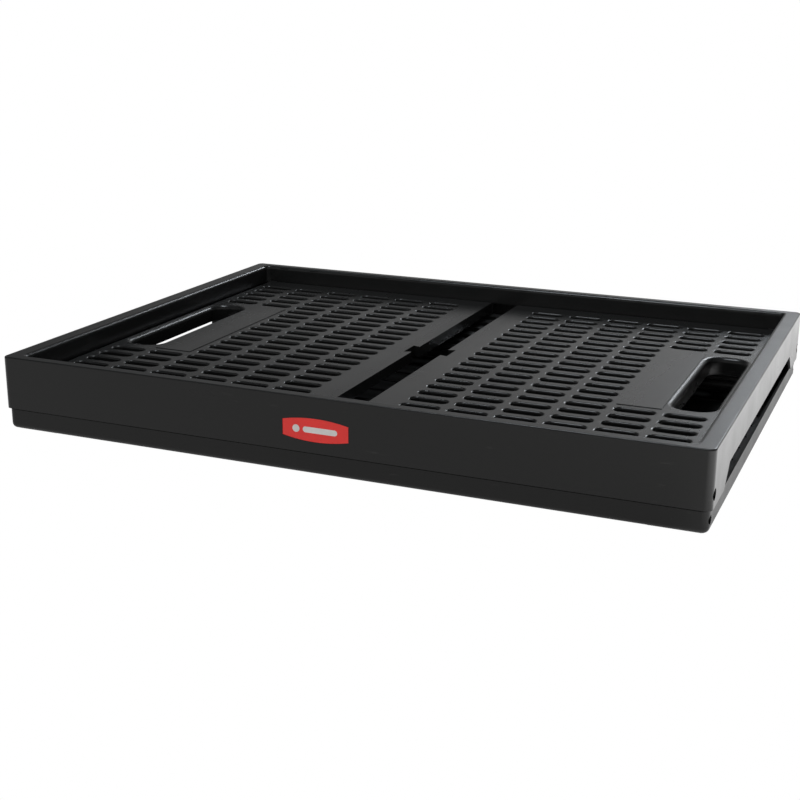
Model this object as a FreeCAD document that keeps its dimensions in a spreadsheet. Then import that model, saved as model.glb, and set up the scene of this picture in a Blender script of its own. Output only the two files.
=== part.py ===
"""Folding plastic crate, shown folded flat.

A shallow base tray and a deep top frame are joined on each long side by a wall
that is hinged at the bottom, the middle and the top. The end walls hang on the
frame and lie flat under its rim. All sizes are in millimetres: +X runs along the
crate, +Y towards its back, +Z up, with the floor at z = 0.
"""
import FreeCAD
import Part
import Sketcher
import math
import os
import re

doc = FreeCAD.newDocument("folding_crate")

# ---- driving dimensions -------------------------------------------------------

SIZES = {
    # whole crate
    "crate_length": 530, "crate_width": 400, "corner_radius": 5,
    # base tray
    "base_height": 17, "base_inset": 1.5, "base_wall": 2, "floor_thick": 2.6,
    "base_edge_round": 4, "foot_height": 0.8, "foot_size": 34, "foot_inset": 5,
    "rib_height": 1, "rib_width": 1.6, "rib_pitch": 28, "rib_count": 11,
    "catch_width": 16, "catch_height": 13, "catch_thick": 6,
    # top frame
    "frame_height": 40, "frame_gap": 1, "skirt_wall": 2.2, "rim_width": 10,
    "side_rim_width": 13.5, "rim_thick": 2.5, "rim_depth": 16, "rim_wall": 2.2,
    "rim_outer_round": 1.2, "rim_inner_round": 3, "rim_corner_radius": 4,
    "web_thick": 1.6, "web_pitch": 54, "web_count": 9,
    "side_cut_margin": 42, "side_cut_slope": 16, "side_cut_height": 14.5,
    "badge_width": 50, "badge_side_height": 11.5, "badge_mid_height": 17,
    "badge_shift": -4, "badge_level": 16.5, "badge_recess": 0.6, "badge_thick": 0.55,
    "badge_clearance": 0.1,
    # hinges of the long walls
    "rod_radius": 1.6, "rod_clearance": 0.05, "rod_end_gap": 1.5, "knuckle_radius": 3,
    "knuckle_length": 24, "lug_length": 8, "lug_clearance": 0.4,
    "station_pitch": 108, "frame_hinge_height": 9.5, "base_access_radius": 3,
    "frame_access_radius": 4,
    # leaves of the long walls
    "leaf_span": 112, "leaf_thick": 5.2, "leaf_setback": 4.2, "leaf_end_gap": 7,
    "leaf_round": 0.8, "leaf_row_pitch": 19, "leaf_slot_width": 10, "leaf_slot_margin": 8,
    # end walls
    "panel_leaf_gap": 1.3, "panel_thick": 9, "panel_side_gap": 0.6, "middle_gap": 25,
    "panel_hinge_inset": 6.5, "panel_hinge_margin": 4.5,
    "bar_round": 3.8, "trunnion_radius": 2.5, "trunnion_length": 3.4,
    "trunnion_lug_half": 5, "trunnion_lug_gap": 0.5,
    "slot_length": 28.6, "slot_width": 9.2, "slot_round": 1.5, "slot_start": 35.9,
    "slot_side_margin": 18, "slot_end_margin": 6, "column_pitch": 35.04, "row_pitch": 17.05,
    "short_columns": 2,
    "handle_width": 30, "handle_length": 150, "handle_radius": 12, "handle_round": 4,
    "collar_thick": 2, "collar_depth": 4.5, "pad_height": 0.4, "pad_margin": 3,
    "notch_width": 21, "notch_mouth": 17, "notch_depth": 6,
}

sheet = doc.addObject("Spreadsheet::Sheet", "sizes")
for row, (size_name, size) in enumerate(SIZES.items(), start=1):
    sheet.set(f"A{row}", size_name)
    sheet.set(f"B{row}", str(size))
    sheet.setAlias(f"B{row}", size_name)
doc.recompute()

# ---- places that several pieces share, as formulas of the sheet's names ---------

HALF_LENGTH = "(crate_length / 2)"
HALF_WIDTH = "(crate_width / 2)"
FRAME_BOTTOM = "base_height"
FRAME_TOP = "(base_height + frame_height)"
RIM_BOTTOM = f"({FRAME_TOP} - rim_depth)"
FLOOR_TOP = "(foot_height + floor_thick)"
BASE_HALF_LENGTH = f"({HALF_LENGTH} - base_inset)"
BASE_HALF_WIDTH = f"({HALF_WIDTH} - base_inset)"
BASE_TOP = "(base_height - frame_gap)"
HINGE_Y = f"({BASE_HALF_WIDTH} - base_wall - lug_clearance - knuckle_radius)"
BASE_HINGE_Z = f"({FLOOR_TOP} + rib_height + leaf_thick)"
FRAME_HINGE_Z = f"({FRAME_BOTTOM} + frame_hinge_height)"
BORE_RADIUS = "(rod_radius + rod_clearance)"

LEAF_HALF_LENGTH = f"({BASE_HALF_LENGTH} - base_wall - leaf_end_gap)"
LEAF_TILT = f"(asin(({FRAME_HINGE_Z} - {BASE_HINGE_Z}) / 2 / leaf_span))"
LEAF_COLUMNS = (f"(floor((2 * {LEAF_HALF_LENGTH} - 2 * leaf_slot_margin - slot_length)"
                " / column_pitch) + 1)")
LEAF_ROWS = ("(floor((leaf_span - 2 * leaf_setback - 2 * leaf_slot_margin - leaf_slot_width)"
             " / leaf_row_pitch) + 1)")
LUG_OFFSET = "(knuckle_length / 2 + lug_clearance + lug_length / 2)"
STATION_COUNT = (f"(floor((2 * {LEAF_HALF_LENGTH} - 2 * {LUG_OFFSET} - lug_length)"
                 " / station_pitch) + 1)")
FIRST_STATION = f"(-({STATION_COUNT} - 1) / 2 * station_pitch)"

PANEL_BOTTOM = f"({FRAME_HINGE_Z} + leaf_thick + panel_leaf_gap)"
PANEL_TOP = f"({PANEL_BOTTOM} + panel_thick)"
PANEL_HINGE_X = f"({HALF_LENGTH} - side_rim_width - panel_hinge_inset)"
PANEL_HINGE_Z = f"({PANEL_BOTTOM} + panel_thick / 2)"
PANEL_HALF_WIDTH = f"({HINGE_Y} - leaf_thick - panel_side_gap)"
PANEL_EDGE_X = f"({PANEL_HINGE_X} + panel_hinge_margin)"
SLOT_COLUMNS = (f"(floor(({PANEL_EDGE_X} - slot_end_margin - slot_round - slot_length - slot_start)"
                " / column_pitch) + 1)")
SLOT_ROWS = (f"(floor((2 * {PANEL_HALF_WIDTH} - 2 * slot_side_margin - slot_width)"
             " / row_pitch) + 1)")
FULL_COLUMNS = f"({SLOT_COLUMNS} - short_columns)"
END_ROWS = (f"(floor(({SLOT_ROWS} - 1) / 2 - (handle_length / 2 + collar_thick + slot_width / 2)"
            " / row_pitch) + 1)")
SHORT_START_X = f"(slot_start + {FULL_COLUMNS} * column_pitch)"
HANDLE_END_X = f"(slot_start + ({SLOT_COLUMNS} - 1) * column_pitch + slot_length + slot_round)"
HANDLE_START_X = f"({HANDLE_END_X} - handle_width)"


def linked(formula):
    """Point every size name in a formula at its cell of the sheet."""
    return re.sub(r"[a-z]+(?:_[a-z]+)+", lambda word: "sizes." + word.group(), str(formula))


def value(formula):
    """The number that a formula of size names gives now."""
    return float(sheet.evalExpression(linked(formula)))


def bind(item, **formulas):
    """Drive properties of an object from the sheet; __ in a name stands for a dot."""
    for name, formula in formulas.items():
        item.setExpression(name.replace("__", "."), linked(formula))


# ---- helpers for PartDesign bodies --------------------------------------------

def new_body(label):
    body = doc.addObject("PartDesign::Body", label)
    body.Label = label
    return body


def origin(body, role):
    return next(item for item in body.Origin.OriginFeatures if item.Role == role)


def feature(body, kind, name):
    return body.newObject("PartDesign::" + kind, f"{body.Name}_{name}")


def block(body, kind, name, low, high):
    """An additive or subtractive box between two corners given as formulas."""
    box = feature(body, kind + "Box", name)
    bind(box, Length=f"{high[0]} - ({low[0]})", Width=f"{high[1]} - ({low[1]})",
         Height=f"{high[2]} - ({low[2]})", Placement__Base__x=low[0],
         Placement__Base__y=low[1], Placement__Base__z=low[2])
    return box


def sketch_on(body, role, level, name):
    """A sketch on one of the body's own origin planes, lifted along its normal."""
    sketch = body.newObject("Sketcher::SketchObject", f"{body.Name}_{name}_sketch")
    sketch.AttachmentSupport = (origin(body, role), [""])
    sketch.MapMode = "FlatFace"
    bind(sketch, AttachmentOffset__Base__z=level)
    return sketch


def fix(sketch, kind, *where, formula):
    """Add a dimension to a sketch and drive it from the sheet."""
    index = sketch.addConstraint(Sketcher.Constraint(kind, *where, value(formula)))
    sketch.setExpression(f"Constraints[{index}]", linked(formula))


def polygon(sketch, corners):
    """A closed outline of straight lines through corners given as formulas."""
    points = [FreeCAD.Vector(value(x), value(y), 0) for x, y in corners]
    lines = [sketch.addGeometry(Part.LineSegment(start, end), False)
             for start, end in zip(points, points[1:] + points[:1])]
    for line, following, (x, y) in zip(lines, lines[1:] + lines[:1], corners):
        sketch.addConstraint(Sketcher.Constraint("Coincident", line, 2, following, 1))
        fix(sketch, "DistanceX", -1, 1, line, 1, formula=x)
        fix(sketch, "DistanceY", -1, 1, line, 1, formula=y)
    return sketch


def rectangle(sketch, low, high):
    (x_low, y_low), (x_high, y_high) = low, high
    return polygon(sketch, [(x_low, y_low), (x_high, y_low), (x_high, y_high), (x_low, y_high)])


def circle(sketch, x, y, radius):
    centre = FreeCAD.Vector(value(x), value(y), 0)
    sketch.addGeometry(Part.Circle(centre, FreeCAD.Vector(0, 0, 1), value(radius)), False)
    fix(sketch, "Radius", 0, formula=radius)
    fix(sketch, "DistanceX", -1, 1, 0, 3, formula=x)
    fix(sketch, "DistanceY", -1, 1, 0, 3, formula=y)
    return sketch


def stadium(sketch, x_start, y_middle, length, width):
    """A slot outline along X: two straight sides and two round ends."""
    radius = value(width) / 2
    left = value(x_start) + radius
    right = value(x_start) + value(length) - radius
    middle = value(y_middle)
    up = FreeCAD.Vector(0, 0, 1)
    quarter = math.pi / 2
    low = Part.LineSegment(FreeCAD.Vector(left, middle - radius, 0),
                           FreeCAD.Vector(right, middle - radius, 0))
    high = Part.LineSegment(FreeCAD.Vector(right, middle + radius, 0),
                            FreeCAD.Vector(left, middle + radius, 0))
    right_arc = Part.ArcOfCircle(Part.Circle(FreeCAD.Vector(right, middle, 0), up, radius),
                                 -quarter, quarter)
    left_arc = Part.ArcOfCircle(Part.Circle(FreeCAD.Vector(left, middle, 0), up, radius),
                                quarter, 3 * quarter)
    for part in (low, right_arc, high, left_arc):
        sketch.addGeometry(part, False)
    for first, second in ((0, 1), (1, 2), (2, 3), (3, 0)):
        sketch.addConstraint(Sketcher.Constraint("Tangent", first, 2, second, 1))
    sketch.addConstraint(Sketcher.Constraint("Horizontal", 0))
    fix(sketch, "Radius", 1, formula=f"{width} / 2")
    fix(sketch, "DistanceX", -1, 1, 3, 3, formula=f"{x_start} + {width} / 2")
    fix(sketch, "DistanceY", -1, 1, 3, 3, formula=y_middle)
    fix(sketch, "DistanceX", 3, 3, 1, 3, formula=f"{length} - {width}")
    return sketch


def extrude(body, kind, name, sketch, length, backwards=False):
    """Pad or pocket a sketch by a length from the sheet."""
    result = feature(body, kind, name)
    result.Profile = sketch
    result.Reversed = backwards
    bind(result, Length=length)
    sketch.Visibility = False
    return result


def round_bar(body, kind, name, axis, start, length, radius):
    """A padded or pocketed round bar that runs along +X or +Y from its start."""
    x, y, z = start
    if axis == "X":
        sketch = circle(sketch_on(body, "YZ_Plane", x, name), y, z, radius)
        return extrude(body, kind, name, sketch, length, backwards=(kind == "Pocket"))
    sketch = circle(sketch_on(body, "XZ_Plane", f"-({y})", name), x, z, radius)
    return extrude(body, kind, name, sketch, length, backwards=(kind == "Pad"))


def pattern(body, name, originals, axis, pitch, count, axis_two=None, pitch_two=None, count_two=1):
    """Repeat features along one origin axis, or along two at once.

    Along the second axis the pattern makes one row fewer than its count says.
    """
    result = feature(body, "LinearPattern", name)
    result.Originals = originals
    result.Direction = (origin(body, axis), [""])
    result.Mode = "Spacing"
    bind(result, Offset=pitch, Occurrences=count)
    if axis_two:
        result.Direction2 = (origin(body, axis_two), [""])
        result.Mode2 = "Spacing"
        bind(result, Offset2=pitch_two, Occurrences2=f"{count_two} + 1")
    body.Tip = result
    return result


def round_edges(body, name, radius, chosen):
    """Fillet the edges of the body's present shape that a test picks out."""
    doc.recompute()
    base = body.Tip
    edges = [f"Edge{number}" for number, edge in enumerate(base.Shape.Edges, start=1) if chosen(edge)]
    if not edges:
        raise RuntimeError(f"{body.Label}: no edges to round for {name}")
    fillet = feature(body, "Fillet", name)
    fillet.Base = (base, edges)
    bind(fillet, Radius=radius)
    return fillet


def at(number, formula):
    """True when a coordinate lies at the place that a formula gives."""
    return abs(number - value(formula)) < 0.01


def lies_at_level(edge, formula):
    return at(edge.BoundBox.ZMin, formula) and at(edge.BoundBox.ZMax, formula)


def is_upright(edge):
    box = edge.BoundBox
    return box.XLength < 0.01 and box.YLength < 0.01 and box.ZLength > 0.01


# ---- hinges --------------------------------------------------------------------

SIDES = {"back": 1, "front": -1}


def mirrored_y(sign, low, high):
    """The low and high Y formulas of a span, on the back (1) or front (-1) side."""
    return (low, high) if sign > 0 else (f"-({high})", f"-({low})")


def add_lugs(body, hinge_level, root_level, root_y):
    """Pairs of bored lugs along both long sides, one lug each side of every knuckle."""
    low_level, high_level = sorted((hinge_level, root_level), key=value)
    lugs = []
    for side, sign in SIDES.items():
        web_low, web_high = mirrored_y(sign, f"{HINGE_Y} - knuckle_radius", root_y)
        for end, end_sign in (("low", "-"), ("high", "+")):
            start = f"({FIRST_STATION} {end_sign} {LUG_OFFSET} - lug_length / 2)"
            lugs.append(block(body, "Additive", f"lug_web_{side}_{end}",
                              (start, web_low, low_level),
                              (f"{start} + lug_length", web_high, high_level)))
            lugs.append(round_bar(body, "Pad", f"lug_eye_{side}_{end}", "X",
                                  (start, f"{sign} * {HINGE_Y}", hinge_level),
                                  "lug_length", "knuckle_radius"))
    pattern(body, "lugs", lugs, "X_Axis", "station_pitch", STATION_COUNT)
    for side, sign in SIDES.items():
        round_bar(body, "Pocket", f"lug_bore_{side}", "X",
                  (f"{FIRST_STATION} - station_pitch / 3", f"{sign} * {HINGE_Y}", hinge_level),
                  f"({STATION_COUNT} - 1 + 2 / 3) * station_pitch", BORE_RADIUS)


def add_access_holes(body, level, radius, outer_x):
    """Round holes in the short sides, through which the hinge rods are pushed in."""
    for side, sign in SIDES.items():
        for end, end_sign in (("left", "-"), ("right", "")):
            round_bar(body, "Pocket", f"access_hole_{side}_{end}", "X",
                      (f"{end_sign}{outer_x} - leaf_end_gap", f"{sign} * {HINGE_Y}", level),
                      "leaf_end_gap * 2", radius)


def make_rod(label, y, z, half_length):
    """A plain plastic hinge rod that runs along X."""
    rod = doc.addObject("Part::Cylinder", label)
    rod.Label = label
    rod.Placement = FreeCAD.Placement(FreeCAD.Vector(), FreeCAD.Rotation(FreeCAD.Vector(0, 1, 0), 90))
    bind(rod, Radius="rod_radius", Height=f"2 * ({half_length})",
         Placement__Base__x=f"-({half_length})", Placement__Base__y=y, Placement__Base__z=z)
    return rod


def mirror_piece(source, label, normal):
    """A mirror image of a whole piece about the crate's middle, as a piece of its own."""
    copy = doc.addObject("Part::Mirroring", label)
    copy.Label = label
    copy.Source = source
    copy.Normal = normal
    copy.Base = FreeCAD.Vector()
    return copy


# ---- base tray -----------------------------------------------------------------

def make_base_tray():
    """An open tray with ribs on its floor, hinge lugs, two catches and four feet."""
    body = new_body("base_tray")
    outline = rectangle(sketch_on(body, "XY_Plane", "foot_height", "outline"),
                        (f"-{BASE_HALF_LENGTH}", f"-{BASE_HALF_WIDTH}"),
                        (BASE_HALF_LENGTH, BASE_HALF_WIDTH))
    extrude(body, "Pad", "shell", outline, f"{BASE_TOP} - foot_height")
    round_edges(body, "corners", "corner_radius", is_upright)
    round_edges(body, "bottom_edge", "base_edge_round",
                lambda edge: lies_at_level(edge, "foot_height"))
    inside = (f"{BASE_HALF_LENGTH} - base_wall", f"{BASE_HALF_WIDTH} - base_wall")
    hollow = rectangle(sketch_on(body, "XY_Plane", BASE_TOP, "hollow"),
                       (f"-({inside[0]})", f"-({inside[1]})"), inside)
    extrude(body, "Pocket", "inside", hollow, f"{BASE_TOP} - {FLOOR_TOP}")
    round_edges(body, "inner_corners", "corner_radius - base_wall",
                lambda edge: is_upright(edge) and at(abs(edge.BoundBox.XMin), inside[0]))

    rib_y = "(-(rib_count - 1) / 2 * rib_pitch)"
    rib = block(body, "Additive", "rib",
                (f"-{LEAF_HALF_LENGTH}", f"{rib_y} - rib_width / 2", f"{FLOOR_TOP} - rib_height"),
                (LEAF_HALF_LENGTH, f"{rib_y} + rib_width / 2", f"{FLOOR_TOP} + rib_height"))
    pattern(body, "ribs", [rib], "Y_Axis", "rib_pitch", "rib_count")

    catch = block(body, "Additive", "catch",
                  (f"-{PANEL_HINGE_X} - catch_thick / 2", "-catch_width / 2",
                   f"{FLOOR_TOP} - rib_height"),
                  (f"-{PANEL_HINGE_X} + catch_thick / 2", "catch_width / 2",
                   f"{FLOOR_TOP} + catch_height"))
    pattern(body, "catches", [catch], "X_Axis", f"2 * {PANEL_HINGE_X}", "2")

    foot_x = f"({BASE_HALF_LENGTH} - foot_inset)"
    foot_y = f"({BASE_HALF_WIDTH} - foot_inset)"
    foot = block(body, "Additive", "foot", (f"-{foot_x}", f"-{foot_y}", "0"),
                 (f"-{foot_x} + foot_size", f"-{foot_y} + foot_size", "foot_height + floor_thick / 2"))
    pattern(body, "feet", [foot], "X_Axis", f"2 * {foot_x} - foot_size", "2",
            "Y_Axis", f"2 * {foot_y} - foot_size", "2")

    add_lugs(body, BASE_HINGE_Z, f"{FLOOR_TOP} - rib_height",
             f"{BASE_HALF_WIDTH} - base_wall / 2")
    add_access_holes(body, BASE_HINGE_Z, "base_access_radius", BASE_HALF_LENGTH)
    return body


# ---- top frame -----------------------------------------------------------------

def make_top_frame():
    """A deep skirt with a flanged rim, a short inner wall, hinge lugs and end cut-outs."""
    body = new_body("top_frame")
    outline = rectangle(sketch_on(body, "XY_Plane", FRAME_BOTTOM, "outline"),
                        (f"-{HALF_LENGTH}", f"-{HALF_WIDTH}"), (HALF_LENGTH, HALF_WIDTH))
    extrude(body, "Pad", "block", outline, "frame_height")
    round_edges(body, "corners", "corner_radius", is_upright)

    opening = (f"({HALF_LENGTH} - side_rim_width)", f"({HALF_WIDTH} - rim_width)")
    mouth = rectangle(sketch_on(body, "XY_Plane", FRAME_TOP, "mouth"),
                      (f"-{opening[0]}", f"-{opening[1]}"), opening)
    extrude(body, "Pocket", "mouth", mouth, "frame_height")
    round_edges(body, "mouth_corners", "rim_corner_radius",
                lambda edge: is_upright(edge) and at(abs(edge.BoundBox.XMin), opening[0]))
    round_edges(body, "rim_inner_edge", "rim_inner_round",
                lambda edge: lies_at_level(edge, FRAME_TOP) and in_span(edge, opening))
    rim_edge = (f"{opening[0]} + rim_inner_round", f"{opening[1]} + rim_inner_round")
    round_edges(body, "rim_outer_edge", "rim_outer_round",
                lambda edge: lies_at_level(edge, FRAME_TOP) and not in_span(edge, rim_edge))

    skirt = (f"({HALF_LENGTH} - skirt_wall)", f"({HALF_WIDTH} - skirt_wall)")
    below = rectangle(sketch_on(body, "XY_Plane", FRAME_BOTTOM, "below"),
                      (f"-{skirt[0]}", f"-{skirt[1]}"), skirt)
    extrude(body, "Pocket", "below_rim", below, f"{RIM_BOTTOM} - {FRAME_BOTTOM}", backwards=True)
    channel = rectangle(sketch_on(body, "XY_Plane", RIM_BOTTOM, "channel"),
                        (f"-{skirt[0]}", f"-{skirt[1]}"), skirt)
    inner = (f"({opening[0]} + rim_wall)", f"({opening[1]} + rim_wall)")
    rectangle(channel, (f"-{inner[0]}", f"-{inner[1]}"), inner)
    extrude(body, "Pocket", "rim_channel", channel, "rim_depth - rim_thick", backwards=True)

    cut_y = (f"({HALF_WIDTH} - side_cut_margin)", f"({HALF_WIDTH} - side_cut_margin - side_cut_slope)")
    cut_low, cut_high = f"{FRAME_BOTTOM} - skirt_wall", f"{FRAME_BOTTOM} + side_cut_height"
    cut_out = polygon(sketch_on(body, "YZ_Plane", f"-{HALF_LENGTH} - skirt_wall", "side_cut"),
                      [(f"-{cut_y[0]}", cut_low), (cut_y[0], cut_low), (cut_y[0], FRAME_BOTTOM),
                       (cut_y[1], cut_high), (f"-{cut_y[1]}", cut_high), (f"-{cut_y[0]}", FRAME_BOTTOM)])
    extrude(body, "Pocket", "side_cuts", cut_out, "crate_length + 2 * skirt_wall", backwards=True)

    webs = []
    for side, sign in SIDES.items():
        low, high = mirrored_y(sign, f"{inner[1]} - rim_wall / 2", f"{skirt[1]} + skirt_wall / 2")
        webs.append(block(body, "Additive", f"web_{side}",
                          ("-(web_count - 1) / 2 * web_pitch - web_thick / 2", low, RIM_BOTTOM),
                          ("-(web_count - 1) / 2 * web_pitch + web_thick / 2", high,
                           f"{FRAME_TOP} - rim_thick / 2")))
    pattern(body, "webs", webs, "X_Axis", "web_pitch", "web_count")

    add_lugs(body, FRAME_HINGE_Z, f"{FRAME_TOP} - rim_thick / 2", f"{skirt[1]} + skirt_wall / 2")
    add_access_holes(body, FRAME_HINGE_Z, "frame_access_radius", HALF_LENGTH)

    badge_seat = badge_outline(sketch_on(body, "XZ_Plane", HALF_WIDTH, "badge_seat"), "0")
    extrude(body, "Pocket", "badge_seat", badge_seat, "badge_recess")
    add_trunnion_lugs(body, inner[1])
    return body


def in_span(edge, half_sizes):
    """True when an edge lies within a rectangle about the middle."""
    box = edge.BoundBox
    reach_x = max(abs(box.XMin), abs(box.XMax))
    reach_y = max(abs(box.YMin), abs(box.YMax))
    return reach_x < value(half_sizes[0]) + 0.01 and reach_y < value(half_sizes[1]) + 0.01


def add_trunnion_lugs(body, root_y):
    """Four bored lugs under the inner wall that carry the end walls."""
    lugs = []
    for side, sign in SIDES.items():
        low, high = mirrored_y(sign, f"{PANEL_HALF_WIDTH} + trunnion_lug_gap", root_y)
        lugs.append(block(body, "Additive", f"trunnion_lug_{side}",
                          (f"-{PANEL_HINGE_X} - trunnion_lug_half", low,
                           f"{PANEL_HINGE_Z} - trunnion_lug_half"),
                          (f"-{PANEL_HINGE_X} + trunnion_lug_half", high, f"{RIM_BOTTOM} + rim_wall / 2")))
    pattern(body, "trunnion_lugs", lugs, "X_Axis", f"2 * {PANEL_HINGE_X}", "2")
    for end, sign in (("left", "-"), ("right", "")):
        round_bar(body, "Pocket", f"trunnion_bore_{end}", "Y",
                  (f"{sign}{PANEL_HINGE_X}", f"-({root_y}) - rim_wall", PANEL_HINGE_Z),
                  f"2 * ({root_y}) + 2 * rim_wall", "trunnion_radius + rod_clearance")


# ---- badge ---------------------------------------------------------------------

def badge_outline(sketch, clearance):
    """Straight upright ends joined by shallow arcs above and below."""
    half = f"(badge_width / 2 - {clearance})"
    end = f"(badge_side_height / 2 - {clearance})"
    rise = "((badge_mid_height - badge_side_height) / 2)"
    level = f"({FRAME_BOTTOM} + badge_level)"
    radius = f"(({half} * {half} + {rise} * {rise}) / (2 * {rise}))"
    left, right = f"badge_shift - {half}", f"badge_shift + {half}"
    low_end, high_end = f"{level} - {end}", f"{level} + {end}"
    corners = [(left, low_end), (right, low_end), (right, high_end), (left, high_end)]
    points = [FreeCAD.Vector(value(x), value(y), 0) for x, y in corners]
    middle = value("badge_shift")
    low = FreeCAD.Vector(middle, value(f"{level} - {end} - {rise}"), 0)
    high = FreeCAD.Vector(middle, value(f"{level} + {end} + {rise}"), 0)
    sketch.addGeometry(Part.Arc(points[0], low, points[1]), False)
    sketch.addGeometry(Part.LineSegment(points[1], points[2]), False)
    sketch.addGeometry(Part.Arc(points[2], high, points[3]), False)
    sketch.addGeometry(Part.LineSegment(points[3], points[0]), False)
    for line, first, second in ((1, 1, 2), (3, 3, 0)):
        for vertex, corner in ((1, first), (2, second)):
            fix(sketch, "DistanceX", -1, 1, line, vertex, formula=corners[corner][0])
            fix(sketch, "DistanceY", -1, 1, line, vertex, formula=corners[corner][1])
    for arc, before, after in ((0, 3, 1), (2, 1, 3)):
        sketch.addConstraint(Sketcher.Constraint("Coincident", arc, 1, before, 2))
        sketch.addConstraint(Sketcher.Constraint("Coincident", arc, 2, after, 1))
        fix(sketch, "Radius", arc, formula=radius)
    return sketch


def make_badge():
    """A thin moulded plate that fills the shallow seat in the front skirt."""
    body = new_body("badge_plate")
    outline = badge_outline(sketch_on(body, "XZ_Plane", f"{HALF_WIDTH} - badge_recess", "outline"),
                            "badge_clearance")
    extrude(body, "Pad", "plate", outline, "badge_thick")
    return body


# ---- leaves of the long walls -----------------------------------------------------

def make_leaf(label, thickness_sign, double_middle):
    """One half of a long wall, made with its outer hinge on the X axis.

    The plate reaches towards -Y. Its outer face holds both hinge axes, and its
    thickness lies below that face (-1) or above it (1). The middle hinge has single
    knuckles, or pairs of them that embrace the other leaf's.
    """
    body = new_body(label)
    below, above = ("-leaf_thick", "0") if thickness_sign < 0 else ("0", "leaf_thick")
    plate = rectangle(sketch_on(body, "XY_Plane", below, "plate"),
                      (f"-{LEAF_HALF_LENGTH}", "-(leaf_span - leaf_setback)"),
                      (LEAF_HALF_LENGTH, "-leaf_setback"))
    extrude(body, "Pad", "plate", plate, "leaf_thick")
    round_edges(body, "plate_edges", "leaf_round", lambda edge: edge.BoundBox.XLength > 1)
    slot = stadium(sketch_on(body, "XY_Plane", above, "slot"),
                   f"(-({LEAF_COLUMNS} - 1) / 2 * column_pitch - slot_length / 2)",
                   f"(-leaf_span / 2 - ({LEAF_ROWS} - 1) / 2 * leaf_row_pitch)",
                   "slot_length", "leaf_slot_width")
    slot_cut = extrude(body, "Pocket", "slot", slot, "leaf_thick")
    pattern(body, "slots", [slot_cut], "X_Axis", "column_pitch", LEAF_COLUMNS,
            "Y_Axis", "leaf_row_pitch", LEAF_ROWS)

    arm_low, arm_high = ("-knuckle_radius", "0") if thickness_sign < 0 else ("0", "knuckle_radius")
    knuckles = []
    single = [(f"{FIRST_STATION} - knuckle_length / 2", "knuckle_length")]
    pair = [(f"{FIRST_STATION} {sign} {LUG_OFFSET} - lug_length / 2", "lug_length") for sign in "-+"]
    arm_length = "(leaf_setback + leaf_round + knuckle_radius)"
    ends = [("outer", "0", f"-{arm_length}", "0", single),
            ("middle", "-leaf_span", "-leaf_span", f"-leaf_span + {arm_length}",
             pair if double_middle else single)]
    for end, axis_y, arm_start, arm_end, spans in ends:
        for number, (start, length) in enumerate(spans):
            knuckles.append(round_bar(body, "Pad", f"{end}_knuckle_{number}", "X",
                                      (start, axis_y, "0"), length, "knuckle_radius"))
            knuckles.append(block(body, "Additive", f"{end}_arm_{number}",
                                  (start, arm_start, arm_low), (f"{start} + {length}", arm_end, arm_high)))
    pattern(body, "knuckles", knuckles, "X_Axis", "station_pitch", STATION_COUNT)
    for end, axis_y in (("outer", "0"), ("middle", "-leaf_span")):
        round_bar(body, "Pocket", f"{end}_bore", "X", (f"-{LEAF_HALF_LENGTH}", axis_y, "0"),
                  f"2 * {LEAF_HALF_LENGTH}", BORE_RADIUS)
    return body


def place_leaf(body, level, tilt_sign):
    """Seat a leaf's outer hinge on the back hinge line and tilt it to its folded angle."""
    body.Placement = FreeCAD.Placement(FreeCAD.Vector(), FreeCAD.Rotation(FreeCAD.Vector(1, 0, 0), 1))
    bind(body, Placement__Base__y=HINGE_Y, Placement__Base__z=level,
         Placement__Rotation__Angle=f"{tilt_sign}{LEAF_TILT}")


# ---- end walls ------------------------------------------------------------------

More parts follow.
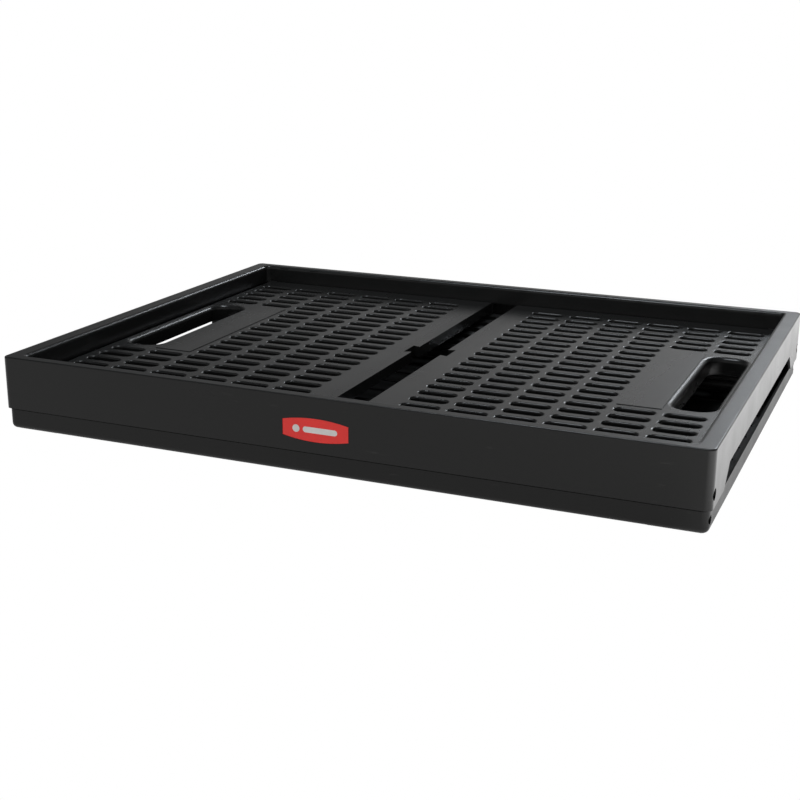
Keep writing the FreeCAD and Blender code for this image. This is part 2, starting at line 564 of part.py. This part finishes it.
def make_end_wall(label):
    """The right end wall, lying flat: a slotted panel with a grip hole and a latch notch."""
    body = new_body(label)
    plate = rectangle(sketch_on(body, "XY_Plane", PANEL_BOTTOM, "plate"),
                      ("middle_gap / 2", f"-{PANEL_HALF_WIDTH}"), (PANEL_EDGE_X, PANEL_HALF_WIDTH))
    extrude(body, "Pad", "plate", plate, "panel_thick")
    round_edges(body, "hinge_bar", "bar_round",
                lambda edge: at(edge.BoundBox.XMin, PANEL_EDGE_X) and edge.BoundBox.YLength > 1)
    pad_half_width = f"(({SLOT_ROWS} / 2 - {END_ROWS}) * row_pitch - pad_margin)"
    pad_area = rectangle(sketch_on(body, "XY_Plane", PANEL_TOP, "grip_pad"),
                         (f"{SHORT_START_X} - slot_round", f"-{pad_half_width}"),
                         (f"{HANDLE_START_X} - handle_round - pad_height", pad_half_width))
    extrude(body, "Pad", "grip_pad", pad_area, "pad_height")
    collar_area = rectangle(sketch_on(body, "XY_Plane", PANEL_BOTTOM, "collar"),
                            (f"{HANDLE_START_X} - collar_thick", "-handle_length / 2 - collar_thick"),
                            (f"{HANDLE_END_X} + collar_thick", "handle_length / 2 + collar_thick"))
    extrude(body, "Pad", "collar", collar_area, "collar_depth", backwards=True)
    hole = rectangle(sketch_on(body, "XY_Plane", PANEL_TOP, "handle"),
                     (HANDLE_START_X, "-handle_length / 2"), (HANDLE_END_X, "handle_length / 2"))
    extrude(body, "Pocket", "handle", hole, "panel_thick + collar_depth")
    round_edges(body, "handle_corners", "handle_radius",
                lambda edge: is_upright(edge) and at(abs(edge.BoundBox.YMin), "handle_length / 2"))
    round_edges(body, "collar_corners", "handle_radius + collar_thick",
                lambda edge: is_upright(edge) and at(edge.BoundBox.ZMax, PANEL_BOTTOM))
    round_edges(body, "handle_edge", "handle_round", is_handle_rim)
    edge = "middle_gap / 2"
    outside, inside = f"{edge} - notch_depth", f"{edge} + notch_depth"
    notch = polygon(sketch_on(body, "XY_Plane", PANEL_TOP, "notch"),
                    [(outside, "-notch_mouth / 2"), (edge, "-notch_mouth / 2"),
                     (inside, "-notch_width / 2"), (inside, "notch_width / 2"),
                     (edge, "notch_mouth / 2"), (outside, "notch_mouth / 2")])
    extrude(body, "Pocket", "notch", notch, "panel_thick")

    first_row = f"(-({SLOT_ROWS} - 1) / 2 * row_pitch)"
    full = cut_slot(body, "full", "slot_start", first_row)
    pattern(body, "slots", [full], "X_Axis", "column_pitch", FULL_COLUMNS,
            "Y_Axis", "row_pitch", SLOT_ROWS)
    back_row = f"({first_row} + ({SLOT_ROWS} - {END_ROWS}) * row_pitch)"
    for end, row in (("front", first_row), ("back", back_row)):
        short = cut_slot(body, end, SHORT_START_X, row)
        pattern(body, f"{end}_slots", [short], "X_Axis", "column_pitch", "short_columns",
                "Y_Axis", "row_pitch", END_ROWS)
    for side, start in (("front", f"-{PANEL_HALF_WIDTH} - trunnion_length"),
                        ("back", f"{PANEL_HALF_WIDTH} - trunnion_length")):
        round_bar(body, "Pad", f"{side}_trunnion", "Y", (PANEL_HINGE_X, start, PANEL_HINGE_Z),
                  "2 * trunnion_length", "trunnion_radius")
    round_edges(body, "slot_edges", "slot_round", is_slot_rim)
    return body


def cut_slot(body, name, x_start, y_middle):
    outline = stadium(sketch_on(body, "XY_Plane", PANEL_TOP, f"{name}_slot"), x_start, y_middle,
                      "slot_length", "slot_width")
    return extrude(body, "Pocket", f"{name}_slot", outline, "panel_thick")


def is_handle_rim(edge):
    """True for the upper edges of the grip hole."""
    box = edge.BoundBox
    return (lies_at_level(edge, PANEL_TOP) and box.XMin > value(HANDLE_START_X) - 0.01
            and box.XMax < value(HANDLE_END_X) + 0.01
            and max(-box.YMin, box.YMax) < value("handle_length") / 2 + 0.01)


def is_slot_rim(edge):
    """True for the upper edges of the slots: they are short and clear of the outline."""
    box = edge.BoundBox
    inside = box.XMin > value("slot_start") - 0.01 and box.XMax < value(HANDLE_END_X) + 0.01
    short = box.XLength < value("slot_length") and box.YLength < value("slot_width") + 0.01
    beyond_handle = max(box.YMin, -box.YMax) > value("handle_length") / 2
    return (lies_at_level(edge, PANEL_TOP) and inside and short
            and (box.XMax < value(SHORT_START_X) or beyond_handle))


# ---- assembly -------------------------------------------------------------------

def make_pieces():
    pieces = [make_base_tray(), make_top_frame(), make_badge()]
    lower = make_leaf("lower_wall_back", -1, False)
    place_leaf(lower, BASE_HINGE_Z, "-")
    upper = make_leaf("upper_wall_back", 1, True)
    place_leaf(upper, FRAME_HINGE_Z, "")
    right = make_end_wall("end_wall_right")
    pieces += [lower, upper, right]
    pieces.append(mirror_piece(lower, "lower_wall_front", FreeCAD.Vector(0, 1, 0)))
    pieces.append(mirror_piece(upper, "upper_wall_front", FreeCAD.Vector(0, 1, 0)))
    pieces.append(mirror_piece(right, "end_wall_left", FreeCAD.Vector(1, 0, 0)))

    middle_y = f"({HINGE_Y} - leaf_span * cos({LEAF_TILT}))"
    middle_z = f"(({BASE_HINGE_Z} + {FRAME_HINGE_Z}) / 2)"
    for side, sign in SIDES.items():
        pieces.append(make_rod(f"base_rod_{side}", f"{sign} * {HINGE_Y}", BASE_HINGE_Z,
                               f"{BASE_HALF_LENGTH} - base_wall - rod_end_gap"))
        pieces.append(make_rod(f"middle_rod_{side}", f"{sign} * {middle_y}", middle_z,
                               f"{LEAF_HALF_LENGTH} - rod_end_gap"))
        pieces.append(make_rod(f"frame_rod_{side}", f"{sign} * {HINGE_Y}", FRAME_HINGE_Z,
                               f"{HALF_LENGTH} - skirt_wall - rod_end_gap"))
    return pieces


def check_and_write(pieces):
    """Stop on any failed object, then write one STEP file for each piece."""
    doc.recompute()
    for item in doc.Objects:
        if "Invalid" in item.State or "Error" in item.State:
            raise RuntimeError(f"{item.Label} failed: {item.State}")
    for piece in pieces:
        if piece.Shape.isNull() or not piece.Shape.isValid() or len(piece.Shape.Solids) != 1:
            raise RuntimeError(f"{piece.Label} is not one sound solid")
    os.makedirs("parts", exist_ok=True)
    for piece in pieces:
        piece.Shape.exportStep(f"parts/{piece.Label}.step")
        print(f"{piece.Label}: {piece.Shape.Volume / 1000:.1f} cm3")


check_and_write(make_pieces())
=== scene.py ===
"""Looks of a black folding crate, folded flat, around its fixed CAD frame."""
import math

import bmesh
import bpy
from mathutils import Matrix, Quaternion, Vector


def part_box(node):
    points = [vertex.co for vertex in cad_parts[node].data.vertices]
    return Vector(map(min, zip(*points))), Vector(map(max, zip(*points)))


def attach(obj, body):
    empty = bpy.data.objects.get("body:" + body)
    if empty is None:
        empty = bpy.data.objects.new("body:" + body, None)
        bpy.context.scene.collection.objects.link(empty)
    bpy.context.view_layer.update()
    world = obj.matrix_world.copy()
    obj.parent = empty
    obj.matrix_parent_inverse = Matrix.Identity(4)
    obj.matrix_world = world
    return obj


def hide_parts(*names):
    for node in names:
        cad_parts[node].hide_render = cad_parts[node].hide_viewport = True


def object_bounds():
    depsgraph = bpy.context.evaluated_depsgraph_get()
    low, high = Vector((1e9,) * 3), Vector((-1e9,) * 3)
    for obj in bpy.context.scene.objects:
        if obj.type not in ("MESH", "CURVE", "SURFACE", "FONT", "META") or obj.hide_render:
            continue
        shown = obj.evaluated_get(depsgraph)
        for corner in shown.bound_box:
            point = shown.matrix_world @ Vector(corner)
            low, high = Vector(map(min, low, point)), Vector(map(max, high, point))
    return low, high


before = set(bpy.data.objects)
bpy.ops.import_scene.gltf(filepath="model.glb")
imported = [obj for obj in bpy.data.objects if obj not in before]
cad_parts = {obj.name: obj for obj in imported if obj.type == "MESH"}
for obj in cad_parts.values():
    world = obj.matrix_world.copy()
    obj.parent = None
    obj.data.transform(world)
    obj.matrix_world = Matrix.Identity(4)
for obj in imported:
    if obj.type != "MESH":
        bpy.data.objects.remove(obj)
cad_low, cad_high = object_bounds()
MM = 0.001


# ---- camera ---------------------------------------------------------------------
# A short telephoto lens looks down a little from the front and the right. It aims
# just left of the crate's middle and leans by a third of a degree.
AZIMUTH = math.radians(22.92)
ELEVATION = math.radians(16.89)
LEAN = math.radians(0.35)
DISTANCE = 1106.4 * MM
AIM_OFFSET = Vector((-26.0, 0, -2.8)) * MM
SENSOR_WIDTH = 36
FOCAL_LENGTH = 60.32

camera_data = bpy.data.cameras.new("camera")
camera_data.sensor_width = SENSOR_WIDTH
camera_data.lens = FOCAL_LENGTH
camera = bpy.data.objects.new("camera", camera_data)
bpy.context.collection.objects.link(camera)
bpy.context.scene.camera = camera

footprint_middle = Vector(((cad_low[0] + cad_high[0]) / 2, (cad_low[1] + cad_high[1]) / 2, cad_low[2]))
backwards = Vector((math.sin(AZIMUTH) * math.cos(ELEVATION),
                    -math.cos(AZIMUTH) * math.cos(ELEVATION),
                    math.sin(ELEVATION)))
camera.rotation_mode = "QUATERNION"
camera.rotation_quaternion = backwards.to_track_quat("Z", "Y") @ Quaternion((0, 0, 1), LEAN)
camera.location = footprint_middle + AIM_OFFSET + backwards * DISTANCE


# ---- shader helpers -------------------------------------------------------------
# Each one adds nodes to a node tree and gives back the socket to link from.
NOISE_SPREAD = (0.3, 0.7)


def add_noise(tree, coordinates, scale, detail, stretch=(1, 1, 1)):
    """A noise texture on the given coordinates, finer along an axis where the stretch is larger."""
    mapping = tree.nodes.new("ShaderNodeMapping")
    mapping.inputs["Scale"].default_value = stretch
    tree.links.new(coordinates, mapping.inputs["Vector"])
    noise = tree.nodes.new("ShaderNodeTexNoise")
    noise.inputs["Scale"].default_value = scale
    noise.inputs["Detail"].default_value = detail
    tree.links.new(mapping.outputs["Vector"], noise.inputs["Vector"])
    return noise.outputs["Fac"]


def add_range(tree, source, low, high, to_low, to_high):
    """Maps a factor from one range to another and keeps it within that range."""
    node = tree.nodes.new("ShaderNodeMapRange")
    limits = {"From Min": low, "From Max": high, "To Min": to_low, "To Max": to_high}
    for name, number in limits.items():
        node.inputs[name].default_value = number
    tree.links.new(source, node.inputs["Value"])
    return node.outputs["Result"]


def add_weighted_sum(tree, first, second, first_share):
    """Adds two factors, of which the first has the given share and the second the rest."""
    second_part = tree.nodes.new("ShaderNodeMath")
    second_part.operation = "MULTIPLY"
    second_part.inputs[1].default_value = 1 - first_share
    tree.links.new(second, second_part.inputs[0])
    total = tree.nodes.new("ShaderNodeMath")
    total.operation = "MULTIPLY_ADD"
    total.inputs[1].default_value = first_share
    tree.links.new(first, total.inputs[0])
    tree.links.new(second_part.outputs[0], total.inputs[2])
    return total.outputs[0]


def add_larger(tree, first, second):
    """The larger of two factors."""
    larger = tree.nodes.new("ShaderNodeMath")
    larger.operation = "MAXIMUM"
    tree.links.new(first, larger.inputs[0])
    tree.links.new(second, larger.inputs[1])
    return larger.outputs[0]


def add_tint(tree, factor, colour, other_colour):
    """Goes from one colour to another as the factor rises."""
    tint = tree.nodes.new("ShaderNodeMix")
    tint.data_type = "RGBA"
    tint.inputs["A"].default_value = (*colour, 1)
    tint.inputs["B"].default_value = (*other_colour, 1)
    tree.links.new(factor, tint.inputs["Factor"])
    return tint.outputs["Result"]


def add_bump(tree, height, strength, depth):
    """Surface relief from a factor, as deep as the given depth."""
    bump = tree.nodes.new("ShaderNodeBump")
    bump.inputs["Strength"].default_value = strength
    bump.inputs["Distance"].default_value = depth
    tree.links.new(height, bump.inputs["Height"])
    return bump.outputs["Normal"]


def start_material(name):
    """A new material, its node tree, its shader and the coordinates on its object."""
    material = bpy.data.materials.new(name)
    material.use_nodes = True
    tree = material.node_tree
    where = tree.nodes.new("ShaderNodeTexCoord").outputs["Object"]
    return material, tree, tree.nodes["Principled BSDF"], where


# ---- moulded plastic ------------------------------------------------------------
# Injection-moulded polypropylene, black all through, with a fine matt grain from the
# mould. Handling leaves it a little uneven in gloss, with faint scuffs and specks.
# Each pattern's scale or stretch is a count of features per metre.
PLASTIC_IOR = 1.49
PLASTIC_SPECULAR = 0.25
SCUFFED = (0.05, 0.05, 0.048)
PATCH_SCALE = 16
FLOW_ALONG = 3
FLOW_ACROSS = 42
FLOW_SHARE = 0.55
SCUFF_STRETCH = (36, 240, 240)
SCUFF_START = (0.66, 0.8)
SCUFF_STRENGTH = 0.5
SPECK_SCALE = 520
SPECK_START = (0.8, 0.84)
SPECK_STRENGTH = 0.6
GRAIN_STRENGTH = 0.6


def moulded_plastic(name, colour, gloss_range, grain_size, grain_depth, flow_axis):
    """Black plastic: mould grain, flow lines along one axis, patchy gloss and faint scuffs."""
    material, tree, shader, where = start_material(name)
    shader.inputs["IOR"].default_value = PLASTIC_IOR
    shader.inputs["Specular IOR Level"].default_value = PLASTIC_SPECULAR

    flow_stretch = tuple(FLOW_ALONG if axis == flow_axis else FLOW_ACROSS for axis in "xyz")
    flow = add_noise(tree, where, scale=1, detail=3, stretch=flow_stretch)
    patches = add_noise(tree, where, PATCH_SCALE, detail=4)
    unevenness = add_weighted_sum(tree, flow, patches, FLOW_SHARE)
    roughness = add_range(tree, unevenness, *NOISE_SPREAD, *gloss_range)
    tree.links.new(roughness, shader.inputs["Roughness"])

    scuffs = add_noise(tree, where, scale=1, detail=5, stretch=SCUFF_STRETCH)
    scuffs = add_range(tree, scuffs, *SCUFF_START, 0, SCUFF_STRENGTH)
    specks = add_noise(tree, where, SPECK_SCALE, detail=1)
    specks = add_range(tree, specks, *SPECK_START, 0, SPECK_STRENGTH)
    tinted = add_tint(tree, add_larger(tree, scuffs, specks), colour, SCUFFED)
    tree.links.new(tinted, shader.inputs["Base Color"])

    grain = add_noise(tree, where, 1 / grain_size, detail=2)
    tree.links.new(add_bump(tree, grain, GRAIN_STRENGTH, grain_depth), shader.inputs["Normal"])
    return material


def paint(node, material):
    """Gives a CAD node one material in place of its own."""
    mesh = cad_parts[node].data
    mesh.materials.clear()
    mesh.materials.append(material)


# ---- base tray ------------------------------------------------------------------
# The tray is the dullest piece, because it is the one that slides over floors.
TRAY_BLACK = (0.0072, 0.0072, 0.007)
tray_plastic = moulded_plastic("tray_plastic", TRAY_BLACK, gloss_range=(0.38, 0.48),
                               grain_size=0.5 * MM, grain_depth=0.03 * MM, flow_axis="x")
paint("base_tray", tray_plastic)


# ---- top frame ------------------------------------------------------------------
# The frame is the largest moulding. Its skirt and rim have a grain like the tray's
# and are a little glossier, because hands polish the rim.
BLACK = (0.0115, 0.0115, 0.0113)
frame_plastic = moulded_plastic("frame_plastic", BLACK, gloss_range=(0.27, 0.34),
                                grain_size=0.5 * MM, grain_depth=0.022 * MM, flow_axis="x")
paint("top_frame", frame_plastic)


# ---- long walls -----------------------------------------------------------------
# Each long wall is two slotted leaves that fold onto each other under the end walls.
leaf_plastic = moulded_plastic("leaf_plastic", BLACK, gloss_range=(0.34, 0.46),
                               grain_size=0.5 * MM, grain_depth=0.025 * MM, flow_axis="x")
for side in ("front", "back"):
    for level in ("lower", "upper"):
        paint(f"{level}_wall_{side}", leaf_plastic)


# ---- end walls ------------------------------------------------------------------
# The two slotted panels lie flat under the rim. Their faces are smoother than the
# skirt's, so the round slot edges catch small bright points of light.
panel_plastic = moulded_plastic("panel_plastic", BLACK, gloss_range=(0.2, 0.32),
                                grain_size=0.4 * MM, grain_depth=0.014 * MM, flow_axis="y")
for end in ("left", "right"):
    paint(f"end_wall_{end}", panel_plastic)


# ---- hinge rods -----------------------------------------------------------------
# Six plain extruded rods run through the knuckles. They have the faintest grain.
ROD_BLACK = (0.02, 0.02, 0.02)
rod_plastic = moulded_plastic("rod_plastic", ROD_BLACK, gloss_range=(0.22, 0.32),
                              grain_size=0.9 * MM, grain_depth=0.008 * MM, flow_axis="x")
for side in ("front", "back"):
    for line in ("base", "middle", "frame"):
        paint(f"{line}_rod_{side}", rod_plastic)


# ---- badge ----------------------------------------------------------------------
# A thin red plate sits flush in the front skirt. Its ends are straight and its long
# edges bow outwards. A pale blank bar and a small disc are printed on it, no lettering.
badge_low, badge_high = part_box("badge_plate")
BADGE_BULGE = 2.75 * MM
BADGE_STEPS = 24
BADGE_EDGE = 0.15 * MM
BADGE_RED = (0.8, 0.02, 0.013)
BADGE_DEEP_RED = (0.72, 0.015, 0.011)
PRINT_PALE = (0.72, 0.7, 0.68)
PRINT_GREYER = (0.62, 0.6, 0.58)
CLOUD_SCALE = 90
DUST_SCALE = 260
DUST_GLOSS = (0.3, 0.42)
PEEL_SCALE = 700
PEEL_STRENGTH = 0.4
PEEL_DEPTH = 0.01 * MM
PRINT_DEPTH = 0.04 * MM
BAR_HALF_LENGTH = 13 * MM
BAR_HALF_HEIGHT = 2.1 * MM
BAR_SHIFT = 3.6 * MM
DISC_RADIUS = 2.7 * MM
DISC_SHIFT = -14.6 * MM
MARK_SEGMENTS = 40

badge_middle = (badge_low + badge_high) / 2
badge_half = (badge_high.x - badge_low.x) / 2
side_half = (badge_high.z - badge_low.z) / 2 - BADGE_BULGE
bow_radius = (badge_half ** 2 + BADGE_BULGE ** 2) / (2 * BADGE_BULGE)


def printed_plastic(name, colour, deep_colour):
    """Smooth in-moulded plastic film with a slight orange peel and dust in its gloss."""
    material, tree, shader, where = start_material(name)
    clouds = add_range(tree, add_noise(tree, where, CLOUD_SCALE, detail=3), *NOISE_SPREAD, 0, 1)
    tree.links.new(add_tint(tree, clouds, colour, deep_colour), shader.inputs["Base Color"])
    dust = add_range(tree, add_noise(tree, where, DUST_SCALE, detail=4), *NOISE_SPREAD, *DUST_GLOSS)
    tree.links.new(dust, shader.inputs["Roughness"])
    peel = add_bump(tree, add_noise(tree, where, PEEL_SCALE, detail=2), PEEL_STRENGTH, PEEL_DEPTH)
    tree.links.new(peel, shader.inputs["Normal"])
    return material


def finish_piece(piece_mesh, name, material, body):
    """Turns a bmesh into an object in place, that moves with a body."""
    bmesh.ops.recalc_face_normals(piece_mesh, faces=piece_mesh.faces)
    mesh = bpy.data.meshes.new(name)
    piece_mesh.to_mesh(mesh)
    piece_mesh.free()
    mesh.materials.append(material)
    piece = bpy.data.objects.new(name, mesh)
    bpy.context.collection.objects.link(piece)
    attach(piece, body)
    return piece


def bowed_height(x):
    """Half the badge's height at a distance x from its middle."""
    return side_half + math.sqrt(bow_radius ** 2 - x ** 2) - (bow_radius - BADGE_BULGE)


def thicken_forwards(piece_mesh, face, depth):
    """Extrudes a face towards -Y, and gives back the vertices of its front."""
    raised = bmesh.ops.extrude_face_region(piece_mesh, geom=[face])
    front = [item for item in raised["geom"] if isinstance(item, bmesh.types.BMVert)]
    bmesh.ops.translate(piece_mesh, verts=front, vec=(0, -depth, 0))
    return front


badge_mesh = bmesh.new()
stations = [badge_half * (2 * step / BADGE_STEPS - 1) for step in range(BADGE_STEPS + 1)]
outline = [badge_mesh.verts.new((x, 0, -bowed_height(x))) for x in stations]
outline += [badge_mesh.verts.new((x, 0, bowed_height(x))) for x in reversed(stations)]
front_verts = thicken_forwards(badge_mesh, badge_mesh.faces.new(outline), badge_high.y - badge_low.y)
rim_edges = [edge for edge in badge_mesh.edges if all(vert in front_verts for vert in edge.verts)]
bmesh.ops.bevel(badge_mesh, geom=rim_edges, offset=BADGE_EDGE, offset_type="OFFSET", affect="EDGES",
                segments=2, profile=0.5, material=-1)
bmesh.ops.translate(badge_mesh, verts=badge_mesh.verts,
                    vec=(badge_middle.x, badge_high.y, badge_middle.z))
badge_red = printed_plastic("badge_red", BADGE_RED, BADGE_DEEP_RED)
badge = finish_piece(badge_mesh, "badge_face", badge_red, "frame")
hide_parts("badge_plate")

badge_pale = printed_plastic("badge_pale", PRINT_PALE, PRINT_GREYER)


def print_on_badge(name, half_length, half_height, shift):
    """A flat pale mark with round ends, a hair thick, on the badge's front."""
    mark_mesh = bmesh.new()
    bmesh.ops.create_circle(mark_mesh, cap_ends=True, segments=MARK_SEGMENTS, radius=half_height)
    upright = Matrix.Rotation(math.pi / 2, 3, "X")
    bmesh.ops.rotate(mark_mesh, verts=mark_mesh.verts, matrix=upright)
    near_midline = half_height * 0.01
    for end in (-1, 1):
        half_round = [vert for vert in mark_mesh.verts if vert.co.x * end > near_midline]
        bmesh.ops.translate(mark_mesh, verts=half_round, vec=(end * (half_length - half_height), 0, 0))
    thicken_forwards(mark_mesh, next(iter(mark_mesh.faces)), PRINT_DEPTH)
    bmesh.ops.translate(mark_mesh, verts=mark_mesh.verts,
                        vec=(badge_middle.x + shift, badge_low.y, badge_middle.z))
    return finish_piece(mark_mesh, name, badge_pale, "frame")


print_on_badge("badge_bar", BAR_HALF_LENGTH, BAR_HALF_HEIGHT, BAR_SHIFT)
print_on_badge("badge_disc", DISC_RADIUS, DISC_RADIUS, DISC_SHIFT)


# ---- floor ----------------------------------------------------------------------
# The crate stands on a pale sheet that glows as a light source, painted light in the floor itself. The
# glow rises past
#  the right side, so that the short side gleams and the front stays dim.
FLOOR_REACH = 2.2
FLOOR_LEFT = 0.75
FLOOR_RIGHT = 3.4
FLOOR_RISE = (0.24, 0.4)


def camera_sees_white(tree, shader, output):
    """Shows a glow as plain white to the camera and as itself to the object."""
    plain = tree.nodes.new(shader.bl_idname)
    plain.inputs["Color"].default_value = (1, 1, 1, 1)
    seen = tree.nodes.new("ShaderNodeMixShader")
    tree.links.new(tree.nodes.new("ShaderNodeLightPath").outputs["Is Camera Ray"], seen.inputs["Fac"])
    tree.links.new(shader.outputs[0], seen.inputs[1])
    tree.links.new(plain.outputs[0], seen.inputs[2])
    tree.links.new(seen.outputs[0], output.inputs["Surface"])


floor_mesh = bmesh.new()
bmesh.ops.create_grid(floor_mesh, x_segments=1, y_segments=1, size=FLOOR_REACH)
floor_data = bpy.data.meshes.new("floor")
floor_mesh.to_mesh(floor_data)
floor_mesh.free()
floor = bpy.data.objects.new("floor", floor_data)
bpy.context.collection.objects.link(floor)

# The floor's material is painted light: a glow, stronger towards the right, that lights the crate. The
# camera sees it as plain white.
floor_glow, floor_tree, default_shader, floor_where = start_material("floor_glow")
floor_tree.nodes.remove(default_shader)
floor_place = floor_tree.nodes.new("ShaderNodeSeparateXYZ")
floor_tree.links.new(floor_where, floor_place.inputs[0])
glow = floor_tree.nodes.new("ShaderNodeEmission")
glow_strength = add_range(floor_tree, floor_place.outputs["X"], *FLOOR_RISE, FLOOR_LEFT, FLOOR_RIGHT)
floor_tree.links.new(glow_strength, glow.inputs["Strength"])
camera_sees_white(floor_tree, glow, floor_tree.nodes["Material Output"])
floor_data.materials.append(floor_glow)


# ---- lamps ----------------------------------------------------------------------
# One soft box hangs over the crate. A low one stands behind it and puts the gleams on
# the rim and the slot edges.
COOL_WHITE = (0.88, 0.94, 1)


def add_lamp(name, place, size, power):
    """A soft box lamp, as wide and high as its size says, that points at the crate."""
    lamp_data = bpy.data.lights.new(name, "AREA")
    lamp_data.shape = "RECTANGLE"
    lamp_data.size, lamp_data.size_y = size
    lamp_data.energy = power
    lamp_data.color = COOL_WHITE
    lamp = bpy.data.objects.new(name, lamp_data)
    bpy.context.collection.objects.link(lamp)
    lamp.rotation_mode = "QUATERNION"
    lamp.rotation_quaternion = Vector(place).to_track_quat("Z", "Y")
    lamp.location = place


add_lamp("overhead_lamp", place=(-0.3, -0.15, 2.0), size=(0.9, 0.5), power=24)
add_lamp("back_lamp", place=(0.35, 2.3, 1.25), size=(0.8, 0.26), power=15)


# ---- surroundings ---------------------------------------------------------------
# Behind the crate the surroundings are bright in the middle and dim to the left and
# right. In front they are evenly lit, and overhead they are dark. The camera sees
# plain white. A direction runs from -1 to 1 along each axis.
BACK_STOPS = ((0.2, 0.14), (0.42, 0.66), (0.55, 0.66), (0.75, 0.14))
FRONT_GLOW = (0.7, 0.7, 0.7, 1)
FRONT_TO_BACK = (-0.3, 0)
OVERHEAD_RISE = (0.36, 0.6)
OVERHEAD_SHARE = 0.22

world = bpy.data.worlds.new("studio")
bpy.context.scene.world = world
world.use_nodes = True
world_tree = world.node_tree
direction = world_tree.nodes.new("ShaderNodeSeparateXYZ")
world_where = world_tree.nodes.new("ShaderNodeTexCoord").outputs["Generated"]
world_tree.links.new(world_where, direction.inputs[0])

ramp = world_tree.nodes.new("ShaderNodeValToRGB")
while len(ramp.color_ramp.elements) < len(BACK_STOPS):
    ramp.color_ramp.elements.new(0.5)
for stop, (position, strength) in zip(ramp.color_ramp.elements, BACK_STOPS):
    stop.position = position
    stop.color = (strength, strength, strength, 1)
left_to_right = add_range(world_tree, direction.outputs["X"], -1, 1, 0, 1)
world_tree.links.new(left_to_right, ramp.inputs["Fac"])

front_or_back = world_tree.nodes.new("ShaderNodeMix")
front_or_back.data_type = "RGBA"
front_or_back.inputs["A"].default_value = FRONT_GLOW
world_tree.links.new(ramp.outputs["Color"], front_or_back.inputs["B"])
back_share = add_range(world_tree, direction.outputs["Y"], *FRONT_TO_BACK, 0, 1)
world_tree.links.new(back_share, front_or_back.inputs["Factor"])

surroundings = world_tree.nodes["Background"]
world_tree.links.new(front_or_back.outputs["Result"], surroundings.inputs["Color"])
height_share = add_range(world_tree, direction.outputs["Z"], *OVERHEAD_RISE, 1, OVERHEAD_SHARE)
world_tree.links.new(height_share, surroundings.inputs["Strength"])
camera_sees_white(world_tree, surroundings, world_tree.nodes["World Output"])
bpy.context.scene.view_settings.view_transform = "Standard"
